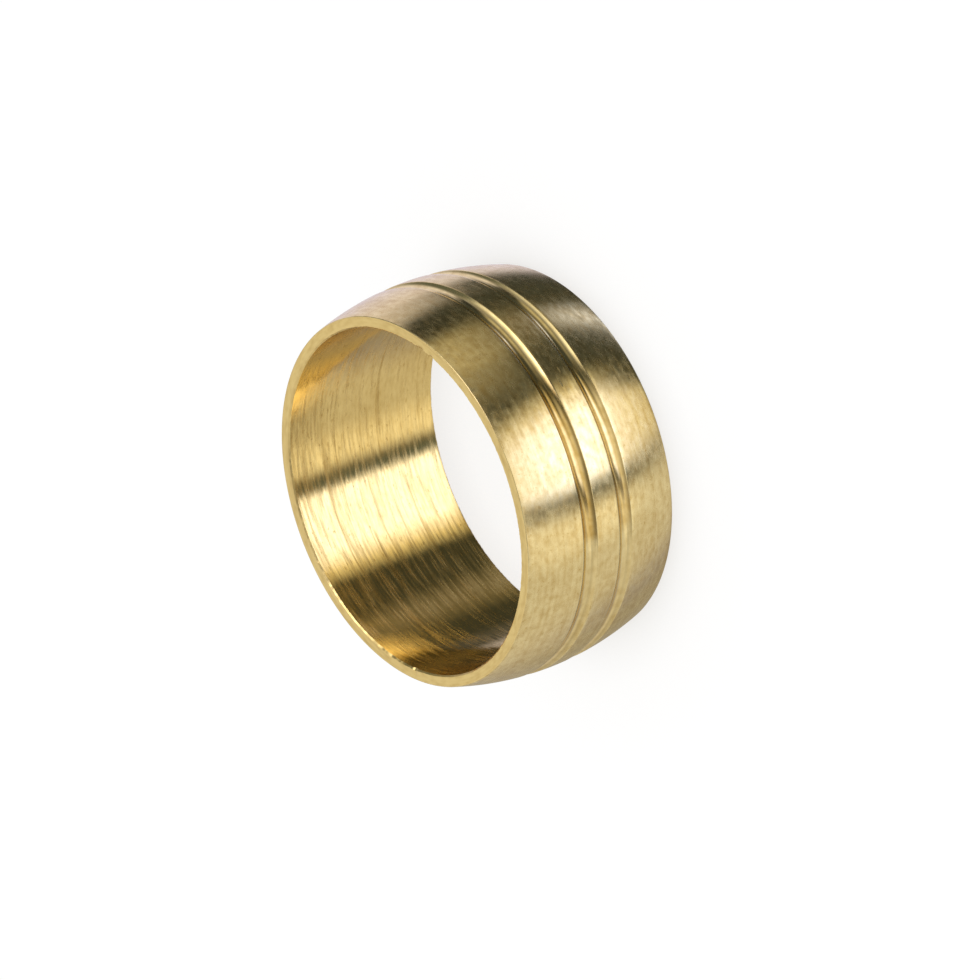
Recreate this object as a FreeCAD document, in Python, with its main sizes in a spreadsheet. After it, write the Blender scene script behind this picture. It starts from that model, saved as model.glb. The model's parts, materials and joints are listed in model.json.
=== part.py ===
"""Compression olive for 15 mm tube: one turned brass ring with a barrel-shaped outside and two round grooves.

The ring stands on one end. The origin is the centre of that end, on the bore's axis, and +Z runs up the bore.
"""

import FreeCAD
import Part
import Sketcher

import math
import os

# Driving dimensions, in millimetres.
DIMENSIONS = [
    ("bore_diameter", 15.1, "slides over the 15 mm tube"),
    ("ring_length", 7.8, "from end face to end face"),
    ("end_wall", 0.5, "width of the flat end face, before its edges are broken"),
    ("crown_rise", 0.55, "how far the barrel's middle stands above its ends"),
    ("groove_spacing", 1.95, "between the middles of the two grooves"),
    ("groove_depth", 0.22, "from the crown down to the groove's floor"),
    ("groove_nose_radius", 0.45, "nose of the round grooving tool"),
    ("lip_round", 0.06, "rounding of the grooves' lips"),
    ("edge_break", 0.04, "rounding of the outer edge of each end"),
    ("bore_lead_in", 0.06, "chamfer at each mouth of the bore"),
]
SHEET = "dimensions"
NODE = "olive"

# Names for the points of a sketch's edge, and for the sketch's own origin and horizontal axis.
START, END, CENTRE = 1, 2, 3
ORIGIN = (-1, START)
HORIZONTAL_AXIS = -1

SKETCH_NORMAL = FreeCAD.Vector(0, 0, 1)


def cell(name):
    """The sheet's cell of that name, as an expression."""
    return f"{SHEET}.{name}"


# Sizes that follow from the driving dimensions, as expressions on the sheet.
BORE_RADIUS = f"{cell('bore_diameter')} / 2"
CROWN_RADIUS = f"({BORE_RADIUS} + {cell('end_wall')} + {cell('crown_rise')})"
HALF_LENGTH = f"({cell('ring_length')} / 2)"
BARREL_RADIUS = f"({cell('crown_rise')} ^ 2 + {HALF_LENGTH} ^ 2) / (2 * {cell('crown_rise')})"
NOSE_CENTRE = f"{CROWN_RADIUS} - {cell('groove_depth')} + {cell('groove_nose_radius')}"
GROOVE_HEIGHTS = {
    "lower": f"{HALF_LENGTH} - {cell('groove_spacing')} / 2",
    "upper": f"{HALF_LENGTH} + {cell('groove_spacing')} / 2",
}


def make_sheet(doc):
    """The spreadsheet of driving dimensions: name, value and meaning in each row."""
    sheet = doc.addObject("Spreadsheet::Sheet", SHEET)
    for row, (name, value, meaning) in enumerate(DIMENSIONS, start=1):
        sheet.set(f"A{row}", name)
        sheet.set(f"B{row}", str(value))
        sheet.set(f"C{row}", meaning)
        sheet.setAlias(f"B{row}", name)
    doc.recompute()
    return sheet


def section_sketch(body, name):
    """An empty sketch on the plane through the bore's axis: its X is the radius and its Y the height."""
    plane = next(p for p in body.Origin.OriginFeatures if p.Role == "XZ_Plane")
    sketch = body.newObject("Sketcher::SketchObject", name)
    sketch.AttachmentSupport = (plane, [""])
    sketch.MapMode = "FlatFace"
    return sketch


def point(x, y):
    return FreeCAD.Vector(x, y, 0)


def polar(centre, radius, angle):
    """The point at that distance and angle from the centre."""
    return centre + point(radius * math.cos(angle), radius * math.sin(angle))


def bearing(start, end):
    """The angle of the way from start to end, from 0 to a full turn."""
    return math.atan2(end.y - start.y, end.x - start.x) % math.tau


def line(sketch, start, end):
    return sketch.addGeometry(Part.LineSegment(start, end))


def arc(sketch, centre, radius, start, end):
    """An arc that runs anticlockwise from the start angle to the end angle."""
    return sketch.addGeometry(Part.ArcOfCircle(Part.Circle(centre, SKETCH_NORMAL, radius), start, end))


def rule(sketch, kind, *where):
    """Adds a constraint that has no dimension."""
    sketch.addConstraint(Sketcher.Constraint(kind, *where))


def drive(sketch, name, expression, kind, *where):
    """Adds a named dimension that is bound to the sheet. The last of where is its first value."""
    index = sketch.addConstraint(Sketcher.Constraint(kind, *where))
    sketch.renameConstraint(index, name)
    sketch.setExpression(f"Constraints.{name}", expression)


def lip_angle(barrel_radius, nose_distance, nose_radius, lip_round):
    """Angle at the barrel arc's centre from a groove's middle to the centre of its lip's rounding.

    The rounding touches the barrel from inside and the groove from outside: the cosine rule gives the angle.
    """
    barrel_side = barrel_radius - lip_round
    groove_side = nose_radius + lip_round
    cosine = (barrel_side**2 + nose_distance**2 - groove_side**2) / (2 * barrel_side * nose_distance)
    return math.acos(cosine)


def draw_outside(sketch, sheet, barrel_centre, barrel_radius):
    """The outside, from the lower rim up to the upper: three lands of one arc, and the grooves between.

    Returns the rims, lands, lips and grooves, and the chain of edges, each with its lower and upper point.
    """
    rim_round = sheet.edge_break
    middle = sheet.ring_length / 2
    rim_swing = barrel_radius - rim_round
    rim_tilt = math.asin((middle - rim_round) / rim_swing)
    lip_round = sheet.lip_round
    lip_swing = barrel_radius - lip_round
    nose = sheet.groove_nose_radius
    crown = barrel_centre.x + barrel_radius
    rims, lands, lips, grooves, chain = [], [], [], [], []

    def turned(edges, centre, radius, start, end):
        edges.append(arc(sketch, centre, radius, start, end))
        chain.append((edges[-1], START, END))

    turned(rims, polar(barrel_centre, rim_swing, -rim_tilt), rim_round, -math.pi / 2, -rim_tilt)
    land_start = -rim_tilt
    for side in (-1, 1):
        nose_centre = point(crown - sheet.groove_depth + nose, middle + side * sheet.groove_spacing / 2)
        offset = nose_centre - barrel_centre
        tilt = math.atan2(offset.y, offset.x)
        half = lip_angle(barrel_radius, offset.Length, nose, lip_round)
        below, above = (polar(barrel_centre, lip_swing, tilt + k * half) for k in (-1, 1))
        turned(lands, barrel_centre, barrel_radius, land_start, tilt - half)
        turned(lips, below, lip_round, tilt - half, bearing(below, nose_centre))
        upper, lower = (bearing(nose_centre, lip) for lip in (above, below))
        grooves.append(arc(sketch, nose_centre, nose, upper, lower))
        chain.append((grooves[-1], END, START))
        turned(lips, above, lip_round, bearing(above, nose_centre), tilt + half)
        land_start = tilt + half
    turned(lands, barrel_centre, barrel_radius, land_start, rim_tilt)
    turned(rims, polar(barrel_centre, rim_swing, rim_tilt), rim_round, rim_tilt, math.pi / 2)
    return rims, lands, lips, grooves, chain


def ring_section(body, sheet):
    """Half section of the ring: flat ends, straight bore, and the barrel arc broken by two grooves."""
    sketch = section_sketch(body, "ring_section")
    bore = sheet.bore_diameter / 2
    end = bore + sheet.end_wall
    length = sheet.ring_length
    middle = length / 2
    barrel_radius = (sheet.crown_rise**2 + middle**2) / (2 * sheet.crown_rise)
    barrel_centre = point(end + sheet.crown_rise - barrel_radius, middle)

    rims, lands, lips, grooves, chain = draw_outside(sketch, sheet, barrel_centre, barrel_radius)
    rim_reach = sketch.Geometry[rims[0]].Center.x
    foot = line(sketch, point(bore, 0), point(rim_reach, 0))
    head = line(sketch, point(rim_reach, length), point(bore, length))
    wall = line(sketch, point(bore, length), point(bore, 0))
    sharp_corner = sketch.addGeometry(Part.Point(point(end, 0)), True)

    # Every edge of the outside runs smoothly into the next, and the bore joins the ends at square corners.
    chain = [(foot, START, END), *chain, (head, START, END)]
    for (edge, _, upper), (following, lower, _) in zip(chain, chain[1:]):
        rule(sketch, "Tangent", edge, upper, following, lower)
    rule(sketch, "Coincident", head, END, wall, START)
    rule(sketch, "Coincident", wall, END, foot, START)
    for land in lands[1:]:
        rule(sketch, "Coincident", lands[0], CENTRE, land, CENTRE)
    for group in (rims, lands, lips, grooves):
        for edge in group[1:]:
            rule(sketch, "Equal", group[0], edge)
    rule(sketch, "PointOnObject", foot, START, HORIZONTAL_AXIS)
    rule(sketch, "Horizontal", foot)
    rule(sketch, "Horizontal", head)
    rule(sketch, "Vertical", wall)

    # The barrel arc would meet the end face at this corner if its edge were not rounded.
    rule(sketch, "PointOnObject", sharp_corner, START, HORIZONTAL_AXIS)
    rule(sketch, "PointOnObject", sharp_corner, START, lands[0])

    drive(sketch, "bore_radius", BORE_RADIUS, "DistanceX", *ORIGIN, foot, START, bore)
    drive(sketch, "end_wall", cell("end_wall"), "DistanceX", foot, START, sharp_corner, START, sheet.end_wall)
    drive(sketch, "ring_length", cell("ring_length"), "DistanceY", wall, END, wall, START, length)
    drive(sketch, "barrel_middle", HALF_LENGTH, "DistanceY", *ORIGIN, lands[0], CENTRE, middle)
    drive(sketch, "barrel_radius", BARREL_RADIUS, "Radius", lands[0], barrel_radius)
    drive(sketch, "edge_break", cell("edge_break"), "Radius", rims[0], sheet.edge_break)
    drive(sketch, "lip_round", cell("lip_round"), "Radius", lips[0], sheet.lip_round)
    drive(sketch, "groove_nose", cell("groove_nose_radius"), "Radius", grooves[0], sheet.groove_nose_radius)
    for groove, (name, height) in zip(grooves, GROOVE_HEIGHTS.items()):
        centre = sketch.Geometry[groove].Center
        drive(sketch, f"{name}_reach", NOSE_CENTRE, "DistanceX", *ORIGIN, groove, CENTRE, centre.x)
        drive(sketch, f"{name}_height", height, "DistanceY", *ORIGIN, groove, CENTRE, centre.y)
    return sketch


def bore_mouths(feature, largest_radius):
    """Names of the feature's edges that lie wholly within that radius: the two mouths of the bore."""
    names = []
    for number, edge in enumerate(feature.Shape.Edges, start=1):
        circle = edge.Curve
        if circle.TypeId == "Part::GeomCircle" and circle.Radius < largest_radius and edge.isClosed():
            names.append(f"Edge{number}")
    return names


def build_olive(doc, sheet):
    """The ring as it is turned from bar: the section once round the bore, then a lead-in at each mouth."""
    body = doc.addObject("PartDesign::Body", NODE)
    body.Label = NODE
    section = ring_section(body, sheet)
    doc.recompute()
    if not section.FullyConstrained:
        raise RuntimeError("the ring's section is not fully constrained")

    ring = body.newObject("PartDesign::Revolution", "turned_ring")
    ring.Profile = section
    ring.ReferenceAxis = (section, ["V_Axis"])
    ring.Angle = 360
    doc.recompute()

    lead_in = body.newObject("PartDesign::Chamfer", "bore_lead_ins")
    lead_in.Base = (ring, bore_mouths(ring, (sheet.bore_diameter + sheet.end_wall) / 2))
    lead_in.setExpression("Size", cell("bore_lead_in"))
    body.Tip = lead_in
    return body


def check(doc, bodies):
    """Stops the build if a feature failed or a sub-part isn't one closed solid."""
    for item in doc.Objects:
        failed = {"Invalid", "Error"} & set(item.State)
        if failed:
            raise RuntimeError(f"{item.Label} failed: {sorted(failed)}")
    for body in bodies:
        shape = body.Shape
        if shape.isNull() or not shape.isValid() or len(shape.Solids) != 1:
            raise RuntimeError(f"{body.Label} is not one valid solid")


def main():
    doc = FreeCAD.newDocument("compression_olive")
    sheet = make_sheet(doc)
    bodies = [build_olive(doc, sheet)]
    doc.recompute()
    check(doc, bodies)
    os.makedirs("parts", exist_ok=True)
    for body in bodies:
        body.Shape.exportStep(f"parts/{body.Label}.step")
        box = body.Shape.optimalBoundingBox(False)
        print(f"{body.Label}: {box.XLength:.3f} x {box.YLength:.3f} x {box.ZLength:.3f} mm,", end=" ")
        print(f"{body.Shape.Volume:.2f} mm3, {len(body.Shape.Faces)} faces")


main()
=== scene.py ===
# %% [markdown]
# # A brass compression olive
# An olive is the ring that a compression fitting squeezes on to a copper tube to make it watertight. It is
# turned in one piece from brass bar. This lesson builds it the same way: a section is drawn, it is spun once
# about the bore, and then the finish is laid on, because on such a plain shape the tool marks and the light
# are the look.
#
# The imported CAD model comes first. It is the frame that the ring is built in, and it is never changed.

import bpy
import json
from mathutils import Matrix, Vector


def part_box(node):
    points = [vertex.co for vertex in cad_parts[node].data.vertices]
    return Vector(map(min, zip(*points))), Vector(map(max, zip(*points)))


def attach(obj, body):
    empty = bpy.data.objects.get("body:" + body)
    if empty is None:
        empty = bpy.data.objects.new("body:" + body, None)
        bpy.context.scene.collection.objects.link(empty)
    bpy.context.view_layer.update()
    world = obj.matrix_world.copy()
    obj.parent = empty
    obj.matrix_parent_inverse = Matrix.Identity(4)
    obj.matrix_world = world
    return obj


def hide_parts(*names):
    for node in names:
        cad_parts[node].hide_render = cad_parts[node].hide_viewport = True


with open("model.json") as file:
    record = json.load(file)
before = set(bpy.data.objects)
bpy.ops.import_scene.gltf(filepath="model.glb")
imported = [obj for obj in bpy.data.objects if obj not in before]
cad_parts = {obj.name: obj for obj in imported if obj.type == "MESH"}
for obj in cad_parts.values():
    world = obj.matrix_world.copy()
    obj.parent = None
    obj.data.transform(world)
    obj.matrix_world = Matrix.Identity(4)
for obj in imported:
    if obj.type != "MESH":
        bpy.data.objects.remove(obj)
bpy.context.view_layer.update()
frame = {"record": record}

# %% [markdown]
# ## Sizes
# The outside sizes come from the frame's box, and the bore from the mount that the record gives for the tube.
# The smaller sizes, such as the grooves', can't be read from a box, so they are written here as the maker's
# drawing would give them. Blender works in metres, so a size in millimetres is multiplied by MM.

# %% Read the ring's sizes
import json
import math

import bpy
import numpy as np
from mathutils import Matrix, Vector

MM = 0.001
ring_low, ring_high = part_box("olive")
tube_bore = next(mount for mount in frame["record"]["mounts"] if mount["name"] == "bore")

RING_LENGTH = ring_high.z - ring_low.z
CROWN_RADIUS = max(ring_high.x, ring_high.y)
BORE_RADIUS = tube_bore["dims"]["r_mm"] * MM
LEAD_IN = (RING_LENGTH - tube_bore["dims"]["length_mm"] * MM) / 2
END_WALL = 0.5 * MM
END_RADIUS = BORE_RADIUS + END_WALL
GROOVE_SPACING = 1.95 * MM
GROOVE_DEPTH = 0.22 * MM
GROOVE_NOSE = 0.45 * MM
LIP_ROUND = 0.06 * MM
RIM_ROUND = 0.04 * MM
print(f"ring {RING_LENGTH / MM:.2f} mm long")
print(f"radius {BORE_RADIUS / MM:.2f} mm in the bore and {CROWN_RADIUS / MM:.2f} mm at the crown")

# %% [markdown]
# ## The section
# A turned part is known by its half section. This one starts at the bore's lower mouth and goes out along the
# lower end, up the outside, in over the upper end and down the bore. The barrel is one large arc that two
# round grooves interrupt. A curve object could be drawn and spun too, but points worked out from the arcs put
# vertices just where a light catches: many on the lips and rims, few along the straight bore.
#
# Each point also names its zone, which gets a finish of its own later. The upper lip of a groove belongs to
# the groove, because the painted shade under it reaches round it.

# %% Helpers that walk along the section
section = []


def add_point(zone, radius, height):
    section.append((zone, radius, height))


def add_line(zone, start, end, steps):
    """Evenly spaced points from start up to, but without, end."""
    for k in range(steps):
        share = k / steps
        add_point(zone, *((1 - share) * s + share * e for s, e in zip(start, end)))


def add_arc(zone, centre, radius, start, end, steps):
    """Points round a centre from one angle up to, but without, the other."""
    for k in range(steps):
        angle = start + (end - start) * k / steps
        add_point(zone, centre[0] + radius * math.cos(angle), centre[1] + radius * math.sin(angle))


# %% Set out the barrel's arc and the grooves' lips
MIDDLE = RING_LENGTH / 2
crown_rise = CROWN_RADIUS - END_RADIUS
barrel_radius = (crown_rise**2 + MIDDLE**2) / (2 * crown_rise)
barrel_centre = (CROWN_RADIUS - barrel_radius, MIDDLE)
rim_tilt = math.asin((MIDDLE - RIM_ROUND) / (barrel_radius - RIM_ROUND))
rim_reach = barrel_centre[0] + (barrel_radius - RIM_ROUND) * math.cos(rim_tilt)
print(f"barrel arc of {barrel_radius / MM:.2f} mm")


def groove_lips(nose):
    """The centre of each lip's rounding, lower lip first, with the angles to the barrel and to the nose."""
    reach = math.dist(nose, barrel_centre)
    tilt = math.atan2(nose[1] - barrel_centre[1], nose[0] - barrel_centre[0])
    lip_swing = barrel_radius - LIP_ROUND
    nose_swing = GROOVE_NOSE + LIP_ROUND
    spread = math.acos((lip_swing**2 + reach**2 - nose_swing**2) / (2 * lip_swing * reach))
    for turn in (tilt - spread, tilt + spread):
        lip = (barrel_centre[0] + lip_swing * math.cos(turn), barrel_centre[1] + lip_swing * math.sin(turn))
        yield lip, turn, math.atan2(nose[1] - lip[1], nose[0] - lip[0])


# %% Draw the half section
LAND_STEPS, LIP_STEPS, GROOVE_STEPS, RIM_STEPS, FACE_STEPS, BORE_STEPS = 14, 4, 12, 4, 5, 24

add_line("end_face", (BORE_RADIUS + LEAD_IN, 0), (rim_reach, 0), FACE_STEPS)
add_arc("barrel", (rim_reach, RIM_ROUND), RIM_ROUND, -math.pi / 2, -rim_tilt, RIM_STEPS)
land_start = -rim_tilt
for side in (-1, 1):
    nose = (CROWN_RADIUS - GROOVE_DEPTH + GROOVE_NOSE, MIDDLE + side * GROOVE_SPACING / 2)
    (low_lip, low_turn, low_facing), (high_lip, high_turn, high_facing) = groove_lips(nose)
    add_arc("barrel", barrel_centre, barrel_radius, land_start, low_turn, LAND_STEPS)
    add_arc("barrel", low_lip, LIP_ROUND, low_turn, low_facing, LIP_STEPS)
    add_arc("groove", nose, GROOVE_NOSE, low_facing + math.pi, high_facing + math.pi, GROOVE_STEPS)
    add_arc("groove", high_lip, LIP_ROUND, high_facing, high_turn, LIP_STEPS)
    land_start = high_turn
add_arc("barrel", barrel_centre, barrel_radius, land_start, rim_tilt, LAND_STEPS)
add_arc("barrel", (rim_reach, RING_LENGTH - RIM_ROUND), RIM_ROUND, rim_tilt, math.pi / 2, RIM_STEPS)
add_line("end_face", (rim_reach, RING_LENGTH), (BORE_RADIUS + LEAD_IN, RING_LENGTH), FACE_STEPS)
UPPER_MOUTH = len(section)
add_line("end_face", (BORE_RADIUS + LEAD_IN, RING_LENGTH), (BORE_RADIUS, RING_LENGTH - LEAD_IN), 1)
add_line("bore", (BORE_RADIUS, RING_LENGTH - LEAD_IN), (BORE_RADIUS, LEAD_IN), BORE_STEPS)
add_line("end_face", (BORE_RADIUS, LEAD_IN), (BORE_RADIUS + LEAD_IN, 0), 1)
print(f"section of {len(section)} points")

# %% [markdown]
# ## Spinning the section
# On the lathe the bar turns and the tool stands still. Here the section turns: each of its points is repeated
# round the bore's axis, and every four neighbours make a face. Blender's Screw modifier does the same, but
# with the points in arrays the burrs and nicks of a real rim can be pressed in before the mesh is made.

# %% Spin the section round the bore
SEGMENTS = 640
turns = np.linspace(0, math.tau, SEGMENTS, endpoint=False)
radii = np.repeat([[radius] for _, radius, _ in section], SEGMENTS, axis=1)
heights = np.repeat([[height] for _, _, height in section], SEGMENTS, axis=1)
print(f"{radii.size} vertices, one every {math.tau * CROWN_RADIUS / SEGMENTS / MM:.3f} mm round the crown")

# %% [markdown]
# ## Burrs and nicks
# The boring tool leaves a thin ragged burr where it comes out, and rings that are tipped into a box together
# nick each other's edges. Both are far too small to sculpt by hand, so the rows of points along the bore's
# two mouths are shaken a little, by chance but the same chance each time. Then a few bites are taken out of
# the upper mouth. One goes on across the end face as a nick, and the outer rim has one small ding.

# %% Roughen the mouths of the bore
BURR = 0.007 * MM
chance = np.random.default_rng(seed=15)
LOWER_MOUTH, LOWER_THROAT, UPPER_THROAT = 0, len(section) - 1, UPPER_MOUTH + 1
for mouth, throat in ((LOWER_MOUTH, LOWER_THROAT), (UPPER_MOUTH, UPPER_THROAT)):
    radii[mouth] += BURR * chance.normal(size=SEGMENTS)
    heights[throat] += BURR * chance.normal(size=SEGMENTS)
print(f"upper mouth runs true to {np.ptp(radii[UPPER_MOUTH]) / MM:.3f} mm")

# %% Nick the upper end
# Each bite is degrees round the ring, then width and depth in millimetres
BITES = (
    (-41.6, 0.10, 0.05), (-46.9, 0.08, 0.04), (135, 0.05, 0.015),
    (140.5, 0.07, 0.02), (146, 0.05, 0.015), (152.1, 0.07, 0.05),
)
BITE_DROP = 0.6
NICK_ANGLE, NICK_WIDTH, NICK_DEPTH = 152.1, 0.06, 0.05
DING_ANGLE, DING_WIDTH, DING_DEPTH = -66.6, 0.08, 0.02


def bite(angle, width, depth):
    """Metres to take off round the ring: depth millimetres at an angle, fading about width to each side."""
    away = (turns - math.radians(angle) + math.pi) % math.tau - math.pi
    return np.exp(-0.5 * (away * BORE_RADIUS / (width * MM)) ** 2) * depth * MM


for angle, width, depth in BITES:
    bitten = bite(angle, width, depth)
    radii[UPPER_MOUTH] += bitten
    heights[UPPER_MOUTH] -= bitten * BITE_DROP
    heights[UPPER_THROAT] -= bitten
for step in range(1, FACE_STEPS):
    heights[UPPER_MOUTH - step] -= bite(NICK_ANGLE, NICK_WIDTH, NICK_DEPTH) * (1 - step / FACE_STEPS)
for step in range(RIM_STEPS + 1):
    radii[UPPER_MOUTH - FACE_STEPS - step] -= bite(DING_ANGLE, DING_WIDTH, DING_DEPTH)
print(f"mouth bitten down by up to {(RING_LENGTH - heights[UPPER_MOUTH].min()) / MM:.3f} mm")

# %% [markdown]
# ## The mesh and its map
# The points are joined row by row. Smooth shading makes the turned walls look round, and sharp edges, such as
# the bore's mouths, stay crisp. The map unrolls the ring like a label: once round is the width, and once
# along the section is the height, so the fine lines across it keep most of the picture.

# %% Make the ring's mesh
SHARP_EDGE = math.radians(30)
ROWS = len(section)
places = np.stack([radii * np.cos(turns), radii * np.sin(turns), heights], axis=-1).reshape(-1, 3)
rows, columns = np.meshgrid(np.arange(ROWS), np.arange(SEGMENTS), indexing="ij")
corner_rows = np.stack([rows, rows, rows + 1, rows + 1], axis=-1)
corner_columns = np.stack([columns, columns + 1, columns + 1, columns], axis=-1)
quads = (corner_rows % ROWS) * SEGMENTS + corner_columns % SEGMENTS

ring_mesh = bpy.data.meshes.new("turned_olive")
ring_mesh.from_pydata(places.tolist(), [], quads.reshape(-1, 4).tolist())
ring_mesh.shade_smooth()
ring_mesh.set_sharp_from_angle(angle=SHARP_EDGE)
olive = bpy.data.objects.new("turned_olive", ring_mesh)
bpy.context.scene.collection.objects.link(olive)
print(f"{len(ring_mesh.polygons) * 2} triangles")

# %% Unroll the ring like a label
outline = np.array([(radius, height) for _, radius, height in section])
steps_along = np.linalg.norm(np.roll(outline, -1, axis=0) - outline, axis=1)
share_along = np.concatenate([[0], np.cumsum(steps_along)]) / steps_along.sum()
label = np.stack([corner_columns / SEGMENTS, share_along[corner_rows]], axis=-1)
ring_mesh.uv_layers.new(name="OFBake").uv.foreach_set("vector", label.ravel())
print(f"label of {math.tau * CROWN_RADIUS / MM:.1f} by {steps_along.sum() / MM:.1f} mm")

# %% [markdown]
# ## Brass
# Brass is a metal, so it has no colour of its own under the surface: its colour is the tint of what it
# mirrors. Freshly cut brass is a full yellow, tumbling makes it paler, and dull marks are browner. A greyer
# tint is painted shade under the grooves' lips and darkens two sides of the bore. Turning leaves fine lines
# round the ring, which spread a reflection along the ring's length and leave it sharp round the ring.
# Anisotropy does that in the shader, with its tangent running round the ring.
#
# Nodes could be placed by hand in the Shader Editor. Written as a few short helpers, the same nodes serve all
# four finishes and the studio too.

# %% Helpers for nodes


def add(tree, kind, inputs=(), **settings):
    """A new node with its settings, each input either joined to another node's output or set to a value."""
    node = tree.nodes.new("ShaderNode" + kind)
    for name, value in settings.items():
        setattr(node, name, value)
    for key, value in dict(inputs).items():
        if isinstance(value, bpy.types.NodeSocket):
            tree.links.new(value, node.inputs[key])
        else:
            node.inputs[key].default_value = value
    return node


def maths(tree, operation, *values):
    return add(tree, "Math", enumerate(values), operation=operation).outputs[0]


def fade(tree, value, start, end, low=0.0, high=1.0):
    """Goes from low to high while value goes from start to end, and stays there."""
    reach = {"Value": value, "From Min": start, "From Max": end, "To Min": low, "To Max": high}
    return add(tree, "MapRange", reach).outputs["Result"]


def blend(tree, *parts, base=0.0):
    """A base and, on top of it, the sum of pairs of a mark and its weight."""
    total = base
    for mark, weight in parts:
        total = maths(tree, "MULTIPLY_ADD", mark, weight, total)
    return total


def overlap(tree, first, *others):
    """Masks multiplied together, so that it is 1 only where all of them are."""
    shared = first
    for mask in others:
        shared = maths(tree, "MULTIPLY", shared, mask)
    return shared


# The Mix node's sockets for colours come after those for numbers and vectors
MIX_SHARE, MIX_START, MIX_END, MIX_RESULT = 0, 6, 7, 2


def mix(tree, share, start, end):
    """A colour that goes from start to end as share goes from 0 to 1."""
    node = add(tree, "Mix", {MIX_SHARE: share, MIX_START: start, MIX_END: end}, data_type="RGBA")
    return node.outputs[MIX_RESULT]


# %% Mix the brass
CLEAN_BRASS = (0.99, 0.75, 0.28, 1)
TUMBLED_BRASS = (0.97, 0.78, 0.35, 1)
DULL_BRASS = (0.60, 0.39, 0.10, 1)
# A greyer brass: painted shade under the grooves' lips, and a darker tint on two sides of the bore
GREYED_BRASS = (0.50, 0.45, 0.25, 1)
QUARTER_TURN = 0.25


def brass(name, anisotropy):
    """A plain brass, and its nodes and shader to lay a finish on."""
    material = bpy.data.materials.new(name)
    material.use_nodes = True
    tree = material.node_tree
    shader = tree.nodes["Principled BSDF"]
    shader.inputs["Metallic"].default_value = 1
    shader.inputs["Anisotropic"].default_value = anisotropy
    shader.inputs["Anisotropic Rotation"].default_value = QUARTER_TURN
    tangent = add(tree, "Tangent", direction_type="RADIAL", axis="Z")
    tree.links.new(tangent.outputs["Tangent"], shader.inputs["Tangent"])
    return material, tree, shader


def lay(tree, shader, metal, marks, roughness, normal, greying=None):
    """Tints the metal by its marks, 0 clean to 1 dull, and greyer where greying is given, and sets its
    roughness and normal. In the grooves the greying is painted shade under the lips.
    """
    tint = mix(tree, marks, metal, DULL_BRASS)
    if greying is not None:
        tint = mix(tree, greying, tint, GREYED_BRASS)
    tree.links.new(tint, shader.inputs["Base Color"])
    tree.links.new(roughness, shader.inputs["Roughness"])
    tree.links.new(normal, shader.inputs["Normal"])
    print(f"finish of {len(tree.nodes)} nodes")


# %% [markdown]
# ## Tool marks
# A lathe tool draws a line round the work for each turn, and grit in the cut makes short dull streaks beside
# it. An image of brushed metal would do for a flat sheet, but on a ring it shows a seam. Noise that is
# stretched in the two directions across the axis and squeezed along it has none. A wall's marks are squeezed
# along its height, and an end face's along its radius.
#
# Each line also leans a little round the ring, so that the edge of a reflection is ragged and not ruled.

# %% Helpers for tool marks


def grain(tree, faced=False):
    """Millimetres across and along a turned wall, or across and outwards on a faced end."""
    place = add(tree, "TexCoord").outputs["Object"]
    place = add(tree, "VectorMath", {0: place, "Scale": 1 / MM}, operation="SCALE").outputs[0]
    x, y, z = add(tree, "SeparateXYZ", {0: place}).outputs
    if faced:
        squares = [maths(tree, "MULTIPLY", side, side) for side in (x, y)]
        z = maths(tree, "SQRT", maths(tree, "ADD", *squares))
    return x, y, z


def streaks(tree, place, length, width, seed, dull, detail=1.0):
    """Marks about this long round the ring and this wide, from 0 to 1 between dull's two levels of noise."""
    x, y, z = place
    stretched = add(tree, "CombineXYZ", {
        0: maths(tree, "MULTIPLY_ADD", x, 1 / length, seed),
        1: maths(tree, "MULTIPLY", y, 1 / length),
        2: maths(tree, "MULTIPLY", z, 1 / width),
    }).outputs[0]
    noise = add(tree, "TexNoise", {"Vector": stretched, "Scale": 1.0, "Detail": detail}).outputs["Fac"]
    return fade(tree, noise, *dull)


def lean(tree, amount, lift=0.0):
    """The surface's normal, leaned round the ring by a small amount and lifted along the axis."""
    tangent = add(tree, "Tangent", direction_type="RADIAL", axis="Z").outputs[0]
    push = add(tree, "VectorMath", {0: tangent, "Scale": amount}, operation="SCALE").outputs[0]
    rise = add(tree, "CombineXYZ", {2: lift}).outputs[0]
    normal = add(tree, "NewGeometry").outputs["Normal"]
    leaned = add(tree, "VectorMath", {0: normal, 1: push}, operation="ADD").outputs[0]
    lifted = add(tree, "VectorMath", {0: leaned, 1: rise}, operation="ADD").outputs[0]
    return add(tree, "VectorMath", {0: lifted}, operation="NORMALIZE").outputs[0]


# %% [markdown]
# ## The barrel's finish
# The outside is turned with a fine feed and then tumbled, so it is satin: short grains over faint long lines,
# a few pits, and clouds where it has been handled. They all dull the tint. Wear has a noise of its own, which
# changes the roughness, and that is what shows in the dark parts of a reflection.
#
# A few small dents from other rings are put where they catch the light. They are finer than the mesh, so each
# is a spot where the normal lifts.

# %% Helper for dents
DENT_LENGTH, DENT_WIDTH, DENT_LIFT = 0.2, 0.05, 0.5


def dent(tree, place, angle, height):
    """1 at one place on the outside, fading to 0 at DENT_LENGTH round the ring and DENT_WIDTH along it."""
    x, y, z = place
    turn = math.radians(angle)
    reach = CROWN_RADIUS / MM
    away = add(tree, "CombineXYZ", {
        0: maths(tree, "MULTIPLY", maths(tree, "SUBTRACT", x, reach * math.cos(turn)), 1 / DENT_LENGTH),
        1: maths(tree, "MULTIPLY", maths(tree, "SUBTRACT", y, reach * math.sin(turn)), 1 / DENT_LENGTH),
        2: maths(tree, "MULTIPLY", maths(tree, "SUBTRACT", z, height), 1 / DENT_WIDTH),
    }).outputs[0]
    return fade(tree, add(tree, "VectorMath", {0: away}, operation="LENGTH").outputs["Value"], 1, 0.5)


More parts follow.
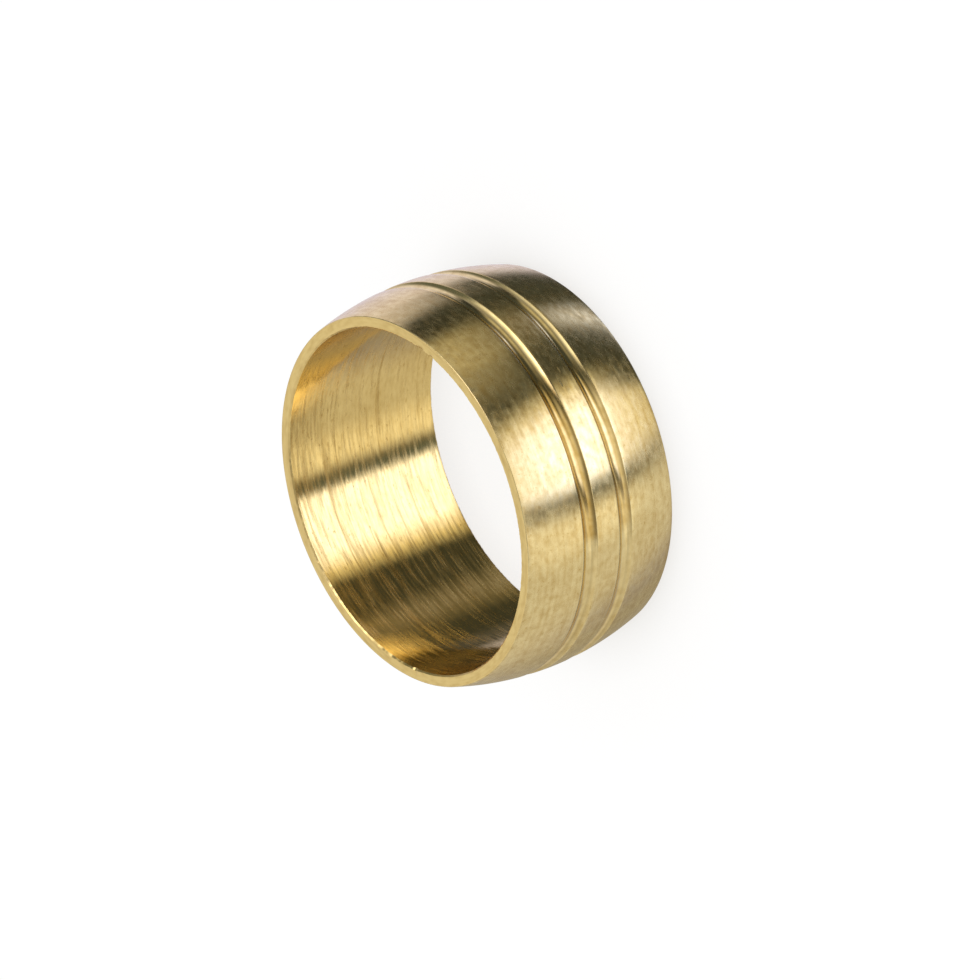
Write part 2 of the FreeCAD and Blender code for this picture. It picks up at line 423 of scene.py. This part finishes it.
# %% Finish the barrel
# Each dent is degrees round the ring, then height in millimetres
DENTS = ((-74.4, 5.8), (-74.5, 4.05), (-70.8, 3.8), (-81, 0.98), (-99.6, 0.83))


def satin_turned_brass():
    material, tree, shader = brass("satin_turned_brass", anisotropy=0.75)
    place = grain(tree)
    lines = streaks(tree, place, length=6.0, width=0.15, seed=3, dull=(0.36, 0.75), detail=2.0)
    grit = streaks(tree, place, length=0.34, width=0.25, seed=8, dull=(0.36, 0.72), detail=3.0)
    pits = streaks(tree, place, length=0.16, width=0.12, seed=5, dull=(0.66, 0.74))
    clouds = streaks(tree, place, length=2.2, width=1.1, seed=14, dull=(0.35, 0.75))
    worn = streaks(tree, place, length=0.4, width=0.2, seed=23, dull=(0.3, 0.75), detail=3.0)
    dents = 0.0
    for angle, height in DENTS:
        dents = maths(tree, "MAXIMUM", dents, dent(tree, place, angle, height))
    marks = blend(tree, (lines, 0.28), (grit, 0.45), (pits, 0.3), (clouds, 0.1))
    roughness = fade(tree, worn, 0, 1, 0.18, 0.32)
    wander = blend(tree, (lines, 0.009), (grit, 0.006), base=-0.007)
    normal = lean(tree, wander, maths(tree, "MULTIPLY", dents, DENT_LIFT))
    lay(tree, shader, TUMBLED_BRASS, marks, roughness, normal)
    return material


satin = satin_turned_brass()

# %% [markdown]
# ## The grooves' finish
# The grooves are plunged with a round form tool. Tumbling makes them pale too, but nothing rubs them clean
# afterwards, so in front a brown stain lies in both grooves, most in the upper one, where cutting oil dried.
# To the left of it an older film has browned them only a little. The wall under each upper lip is greyed all
# round, as painted shade.
# They could be painted on a picture, but masks made from the place on the ring stay sharp from close by.

# %% Helper for the painted shade under the lips
UNDER_LIP = (0.06, 0.3)
LIP_SHADE = 0.9


def shade_under_lips(tree, height):
    """Painted shade: none up to just above a groove's middle, and more from there to the upper lip."""
    half_pitch = GROOVE_SPACING / 2 / MM
    over_lower_groove = maths(tree, "SUBTRACT", height, MIDDLE / MM - half_pitch)
    over_middle = maths(tree, "WRAP", over_lower_groove, half_pitch, -half_pitch)
    return maths(tree, "MULTIPLY", fade(tree, over_middle, *UNDER_LIP), LIP_SHADE)


# %% Finish the grooves
# Where the stain and the older film set in and where they are full, in millimetres along X, Y or Z
STAIN_LEFT, STAIN_RIGHT, STAIN_FRONT = (-4.3, -4.0), (3.4, 2.0), (0, -1)
STAIN_HEIGHTS = (MIDDLE / MM - 0.5, MIDDLE / MM + 0.5)
OLD_FILM = (-4.5, -7.5)


def form_tool_brass():
    material, tree, shader = brass("form_tool_brass", anisotropy=0.5)
    x, y, z = place = grain(tree)
    lines = streaks(tree, place, length=3.0, width=0.12, seed=12, dull=(0.3, 0.75))
    grit = streaks(tree, place, length=0.4, width=0.25, seed=5, dull=(0.38, 0.8))
    stain = overlap(
        tree,
        fade(tree, x, *STAIN_LEFT),
        fade(tree, x, *STAIN_RIGHT),
        fade(tree, y, *STAIN_FRONT),
        fade(tree, z, *STAIN_HEIGHTS, low=0.7),
    )
    old_film = fade(tree, x, *OLD_FILM)
    marks = blend(tree, (lines, 0.15), (grit, 0.35), (stain, 0.66), (old_film, 0.3))
    roughness = fade(tree, grit, 0, 1, 0.14, 0.24)
    wander = fade(tree, lines, 0, 1, -0.02, 0.02)
    # The grey under each upper lip is painted shade
    lay(tree, shader, TUMBLED_BRASS, marks, roughness, lean(tree, wander), shade_under_lips(tree, z))
    return material


form_tooled = form_tool_brass()

# %% [markdown]
# ## The end faces' finish
# The ends are parted off and faced, so their lines run round the face, one outside the other. The same noise
# does it when the distance from the axis takes the place of the height.

# %% Finish the end faces


def faced_brass():
    material, tree, shader = brass("faced_brass", anisotropy=0.5)
    place = grain(tree, faced=True)
    lines = streaks(tree, place, length=5.0, width=0.16, seed=21, dull=(0.35, 0.8))
    grit = streaks(tree, place, length=0.5, width=0.2, seed=17, dull=(0.4, 0.8))
    marks = blend(tree, (lines, 0.25), (grit, 0.35))
    roughness = fade(tree, grit, 0, 1, 0.28, 0.38)
    wander = fade(tree, lines, 0, 1, -0.015, 0.015)
    lay(tree, shader, CLEAN_BRASS, marks, roughness, lean(tree, wander))
    return material


faced = faced_brass()

# %% [markdown]
# ## The bore's finish
# A boring bar is long and thin and it chatters, so the bore is coarser than the outside: long feed lines,
# short dashes where the tool tore, small flecks, and a few deep scores all the way round. The scores, the
# flecks and some of the lines are rough as well as dull, so they look dark in a bright reflection and light
# in a dark one, as they do on a real bore. On two sides the bore is also darker and greyer. On the right
# this grows towards the upper mouth, and on the left it is slight all over.

# %% Finish the bore
# Where the darker, greyer tint sets in and where it is full, in millimetres along X or Z
GREYING_RIGHT, GREYING_HEIGHTS, LIGHT_GREYING_LEFT = (6.2, 6.9), (3.5, 5.5), (-6.0, -6.8)


def bored_brass():
    material, tree, shader = brass("bored_brass", anisotropy=0.9)
    x, _, z = place = grain(tree)
    feed = streaks(tree, place, length=5.0, width=0.11, seed=31, dull=(0.36, 0.75), detail=2.0)
    torn = streaks(tree, place, length=0.36, width=0.14, seed=41, dull=(0.4, 0.75), detail=3.0)
    flecks = streaks(tree, place, length=0.3, width=0.12, seed=7, dull=(0.66, 0.74))
    score = streaks(tree, place, length=12.0, width=0.2, seed=37, dull=(0.65, 0.72))
    clouds = streaks(tree, place, length=2.5, width=1.6, seed=43, dull=(0.4, 0.75))
    rasped = streaks(tree, place, length=1.6, width=0.12, seed=53, dull=(0.42, 0.75), detail=3.0)
    swing = streaks(tree, place, length=2.5, width=0.12, seed=47, dull=(0.25, 0.75), detail=2.0)
    marks = blend(tree, (feed, 0.14), (torn, 0.28), (flecks, 0.25), (score, 0.2), (clouds, 0.15), base=0.29)
    roughness = blend(tree, (feed, 0.03), (score, 0.08), (rasped, 0.2), (flecks, 0.08), base=0.12)
    wander = fade(tree, swing, 0, 1, -0.014, 0.014)
    # Two sides of the bore are tinted darker and greyer
    right_greying = overlap(tree, fade(tree, x, *GREYING_RIGHT, high=0.6), fade(tree, z, *GREYING_HEIGHTS, low=0.2))
    greying = maths(tree, "ADD", right_greying, fade(tree, x, *LIGHT_GREYING_LEFT, high=0.3))
    lay(tree, shader, CLEAN_BRASS, marks, roughness, lean(tree, wander), greying)
    return material


bored = bored_brass()

# %% [markdown]
# ## Each finish in its place
# Every point of the section knows its zone, so the faces from it to the next point can be given that zone's
# finish, row by row. The dressed ring then stands for the plain CAD ring, in the same place and on the same
# body.

# %% Give each zone its finish
finishes = {"barrel": satin, "groove": form_tooled, "end_face": faced, "bore": bored}
for material in finishes.values():
    ring_mesh.materials.append(material)
order = list(finishes)
finish_of_row = [order.index(zone) for zone, _, _ in section]
ring_mesh.polygons.foreach_set("material_index", np.repeat(finish_of_row, SEGMENTS))
print("finishes:", ", ".join(material.name for material in finishes.values()))

# %% Put the ring in the frame
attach(olive, "root")
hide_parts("olive")
print(f"{olive.name} stands for the CAD ring")

# %% [markdown]
# ## Floor
# The ring stands on a plain white table top, which is a single large face. The table isn't shown to mirror
# rays: brass that stood on a lit table would mirror mostly that, and the ring in the picture mirrors a studio
# all round. The camera sees the table mostly as plain white, like the lit glass of a product table. The rest
# is a lit surface, which keeps the ring's shadow but leaves it faint.

# %% Lay the floor
FLOOR_SIZE = 2.0
corners = [(x * FLOOR_SIZE / 2, y * FLOOR_SIZE / 2, 0) for x, y in ((-1, -1), (1, -1), (1, 1), (-1, 1))]
floor_mesh = bpy.data.meshes.new("white_table")
floor_mesh.from_pydata(corners, [], [(0, 1, 2, 3)])
floor = bpy.data.objects.new("white_table", floor_mesh)
bpy.context.scene.collection.objects.link(floor)
floor.visible_glossy = False
print(f"table of {FLOOR_SIZE:.0f} m")

# %% Make the floor white
TABLE_COLOUR = (0.95, 0.95, 0.95, 1)
PLAIN_SHARE = 0.7
white = bpy.data.materials.new("white_table")
white.use_nodes = True
table = white.node_tree
lit_top = table.nodes["Principled BSDF"]
lit_top.inputs["Base Color"].default_value = TABLE_COLOUR
lit_top.inputs["Roughness"].default_value = 1
lit_top.inputs["Specular IOR Level"].default_value = 0
plain_top = add(table, "Emission", {"Color": (1, 1, 1, 1), "Strength": 1.0})
plain_share = maths(table, "MULTIPLY", add(table, "LightPath").outputs["Is Camera Ray"], PLAIN_SHARE)
top = add(table, "MixShader", {0: plain_share, 1: lit_top.outputs[0], 2: plain_top.outputs[0]})
table.links.new(top.outputs[0], table.nodes["Material Output"].inputs["Surface"])
floor_mesh.materials.append(white)
print(f"table {PLAIN_SHARE:.0%} plain white to the camera")

# %% [markdown]
# ## Studio light
# Polished metal is lit by what stands round it. A photographer hangs white and black cards so that the bands
# of a shiny part fall well, and the world's nodes can hang the same cards: each is a patch of azimuth and
# elevation with soft sides, painted over the one before. Azimuth 0 is behind the ring, 90 on its right, 180
# in front and 270 on its left. Area lamps would do too, but a card's sides are set in degrees, and it can
# cover a part of another one.

# %% Start the studio
world = bpy.data.worlds.new("studio")
bpy.context.scene.world = world
world.use_nodes = True
studio = world.node_tree
DEGREE = math.degrees(1)
x, y, z = add(studio, "SeparateXYZ", {0: add(studio, "TexCoord").outputs["Generated"]}).outputs
azimuth = maths(studio, "MULTIPLY", maths(studio, "ARCTAN2", x, y), DEGREE)
elevation = maths(studio, "MULTIPLY", maths(studio, "ARCSINE", z), DEGREE)
print(f"{world.name} measured in degrees by {len(studio.nodes)} nodes")

# %% Helpers for cards
NEUTRAL = (1, 0.99, 1.06)
WARM = (1.02, 0.95, 0.8)
COOL = (0.94, 1.04, 1.7)
PALE = (1.04, 1.01, 1.36)
DIM = (0.95, 1.07, 1.1)
TEAL = (0.85, 1.12, 1.35)


def shade(tint, level):
    return (*(level * part for part in tint), 1)


def by_elevation(*stops):
    """A colour that changes with elevation, from stops of tint, degrees and level."""
    ramp = add(studio, "ValToRGB", {"Fac": fade(studio, elevation, -90, 90)})
    elements = ramp.color_ramp.elements
    while len(elements) < len(stops):
        elements.new(0.5)
    for element, (tint, degrees, level) in zip(elements, stops):
        element.position = (degrees + 90) / 180
        element.color = shade(tint, level)
    return ramp.outputs["Color"]


def card(light, colour, azimuths, elevations, soft, slant=0.0):
    """Paints a card over the light so far. Its sides move by slant degrees for each degree of elevation."""
    (left, right), (low, high) = azimuths, elevations
    middle = maths(studio, "MULTIPLY_ADD", elevation, slant, (left + right) / 2)
    away = maths(studio, "WRAP", maths(studio, "SUBTRACT", azimuth, middle), 180, -180)
    aside = maths(studio, "ABSOLUTE", away)
    beyond = maths(studio, "ABSOLUTE", maths(studio, "SUBTRACT", elevation, (low + high) / 2))
    half_wide, half_high = (right - left) / 2, (high - low) / 2
    inside = overlap(
        studio,
        fade(studio, aside, half_wide + soft, half_wide - soft),
        fade(studio, beyond, half_high + soft, half_high - soft),
    )
    return mix(studio, inside, light, colour)


# %% Hang the cards behind and on the right
# The room itself, dim far below and lighter near the horizon and above it
# A warm wall goes low behind the ring, and a pale one from there round to the right
light = by_elevation(
    (PALE, -90, 0.35), (PALE, -38, 0.32), (NEUTRAL, -17, 0.76), (NEUTRAL, 0, 0.5), (NEUTRAL, 30, 0.72)
)
light = card(light, shade(WARM, 0.37), (306, 372), (-100, -24), soft=10)
light = card(light, shade(PALE, 0.78), (2, 112), (-100, 6), soft=10)
# A wide dark card, and small lights and darks that break up the dark band it gives the ring
light = card(light, shade(DIM, 0.055), (96, 236), (-100, 6), soft=6, slant=1.35)
light = card(light, shade(PALE, 0.5), (57, 72), (-30, -19), soft=4)
light = card(light, shade(DIM, 0.12), (40, 84), (2, 62), soft=8)
light = card(light, shade(WARM, 0.36), (99, 142), (-19, 6), soft=8)
light = card(light, shade(WARM, 0.62), (100, 124), (-24, 6), soft=5)
light = card(light, shade(DIM, 0.03), (78, 95), (-22, 3), soft=4)
light = card(light, shade(WARM, 0.17), (108, 130), (-50, -18), soft=7, slant=0.42)
light = card(light, shade(COOL, 1.35), (113, 128), (-75, -47), soft=6, slant=0.5)
# Above the horizon it is dark too, but for a flash that draws a bright line in each groove
light = card(light, shade(DIM, 0.07), (130, 180), (6, 88), soft=8)
flash = by_elevation(
    (NEUTRAL, 0, 0.1), (NEUTRAL, 18, 0.35), (NEUTRAL, 35, 1.1), (NEUTRAL, 48, 2.1), (PALE, 60, 2.8)
)
light = card(light, flash, (82, 140), (4, 75), soft=7)
print(f"{len(studio.nodes)} nodes in the studio so far")

# %% Hang the cards in front and on the left
# A plain wall on the left, and the large front card with its cool middle and a warm glow along one side
light = card(light, shade(NEUTRAL, 0.69), (205, 285), (-100, 4), soft=12)
glow = by_elevation(
    (WARM, -80, 0.12), (WARM, -64, 0.45), (WARM, -54, 0.5), (WARM, -40, 1.15), (WARM, -8, 0.95),
    (WARM, 8, 0.5), (WARM, 20, 0.12),
)
light = card(light, glow, (165.8, 226), (-100, 90), soft=5, slant=0.46)
front = by_elevation(
    (WARM, -80, 0.14), (WARM, -66, 0.92), (WARM, -52, 0.9), (COOL, -36, 2.3), (COOL, -12, 1.7),
    (NEUTRAL, 3, 1.15), (NEUTRAL, 18, 0.88), (NEUTRAL, 30, 0.66), (NEUTRAL, 44, 0.38), (NEUTRAL, 58, 0.2),
)
light = card(light, front, (177, 227), (-100, 90), soft=7, slant=0.46)
# A light above the horizon in front, which the lower walls of the grooves mirror
overhead = by_elevation(
    (NEUTRAL, 8, 1.25), (NEUTRAL, 25, 1.05), (NEUTRAL, 37, 0.93), (NEUTRAL, 50, 0.6), (NEUTRAL, 62, 0.4)
)
light = card(light, overhead, (160, 202), (10, 100), soft=9)
# A second card to the left of the front one, the dark gap between them, and a dark corner low on the right
side = by_elevation((NEUTRAL, -36, 1.18), (NEUTRAL, -14, 0.95))
light = card(light, side, (216, 246), (-46, 0), soft=7, slant=0.25)
light = card(light, shade(NEUTRAL, 0.19), (205.4, 217), (-100, 6), soft=4, slant=-0.03)
light = card(light, shade(TEAL, 0.12), (206.2, 212.5), (-44, -26), soft=2.5)
light = card(light, shade(DIM, 0.06), (122, 157), (-100, -46), soft=6)
print(f"{len(studio.nodes)} nodes in the studio")

# %% [markdown]
# ## Light for the table
# The cards would throw their own tints on the table, so a ray that leaves the table sees a plain white room
# instead. A soft box straight above does the rest. It reaches into the ring, and the shadow stays close and
# light. Mirror rays pass it by, because the cards already give the brass all that it shows.

# %% Light the table
WHITE = (1, 1, 1)
ROOM_LEVEL = 0.6
from_table = add(studio, "LightPath").outputs["Is Diffuse Ray"]
room = mix(studio, from_table, light, shade(WHITE, ROOM_LEVEL))
studio.links.new(room, studio.nodes["Background"].inputs["Color"])

BOX_SIZE, BOX_HEIGHT, BOX_RADIANCE = 0.35, 0.6, 5
lamp = bpy.data.lights.new("top_soft_box", "AREA")
lamp.shape = "SQUARE"
lamp.size = BOX_SIZE
lamp.energy = BOX_RADIANCE * math.pi * BOX_SIZE**2
top_box = bpy.data.objects.new("top_soft_box", lamp)
top_box.location = (0, 0, BOX_HEIGHT)
top_box.visible_glossy = False
bpy.context.scene.collection.objects.link(top_box)
print(f"soft box of {lamp.energy:.1f} W")

# %% [markdown]
# ## Camera
# The photograph looks down on the ring's end at 35 degrees with a long lens, and the bore's axis runs across
# it. The ring stands on its end here, so the camera is rolled until the axis points down to the right. A
# rotation in angles would need trying; three directions, to the right, up and forward, can be worked out and
# set as the camera's matrix.

# %% Make the camera
LENS = 400
SENSOR = 36
camera_data = bpy.data.cameras.new("photo_camera")
camera_data.lens = LENS
camera_data.sensor_width = SENSOR
camera = bpy.data.objects.new("photo_camera", camera_data)
bpy.context.scene.collection.objects.link(camera)
bpy.context.scene.camera = camera
print(f"camera with a lens of {LENS} mm")

# %% Stand the camera where the photograph was taken
PHOTO_SIDE = 980
CAMERA_DISTANCE = 452.5 * MM
CAMERA_ELEVATION = math.radians(35.07)
AXIS_ANGLE = math.radians(20.65)
NEAR_END_PIXEL = (403.5, 502.3)

forward = Vector((0, math.cos(CAMERA_ELEVATION), -math.sin(CAMERA_ELEVATION)))
down_axis = Vector((0, -math.sin(CAMERA_ELEVATION), -math.cos(CAMERA_ELEVATION)))
right = down_axis * math.cos(AXIS_ANGLE) - Vector((1, 0, 0)) * math.sin(AXIS_ANGLE)
up = right.cross(forward)
focal_pixels = LENS / SENSOR * PHOTO_SIDE
offset = [(p - PHOTO_SIDE / 2) / focal_pixels for p in NEAR_END_PIXEL]
near_end = Vector((0, 0, RING_LENGTH))
stand = near_end - CAMERA_DISTANCE * (forward + offset[0] * right - offset[1] * up)
camera.matrix_world = Matrix.Translation(stand) @ Matrix((right, up, -forward)).transposed().to_4x4()
print("camera at", [round(x / MM, 1) for x in stand], "mm")

# %% [markdown]
# ## Finish
# The plain view transform shows colours as they are.

# %% Write the sizes and finish
bpy.context.scene.view_settings.view_transform = "Standard"
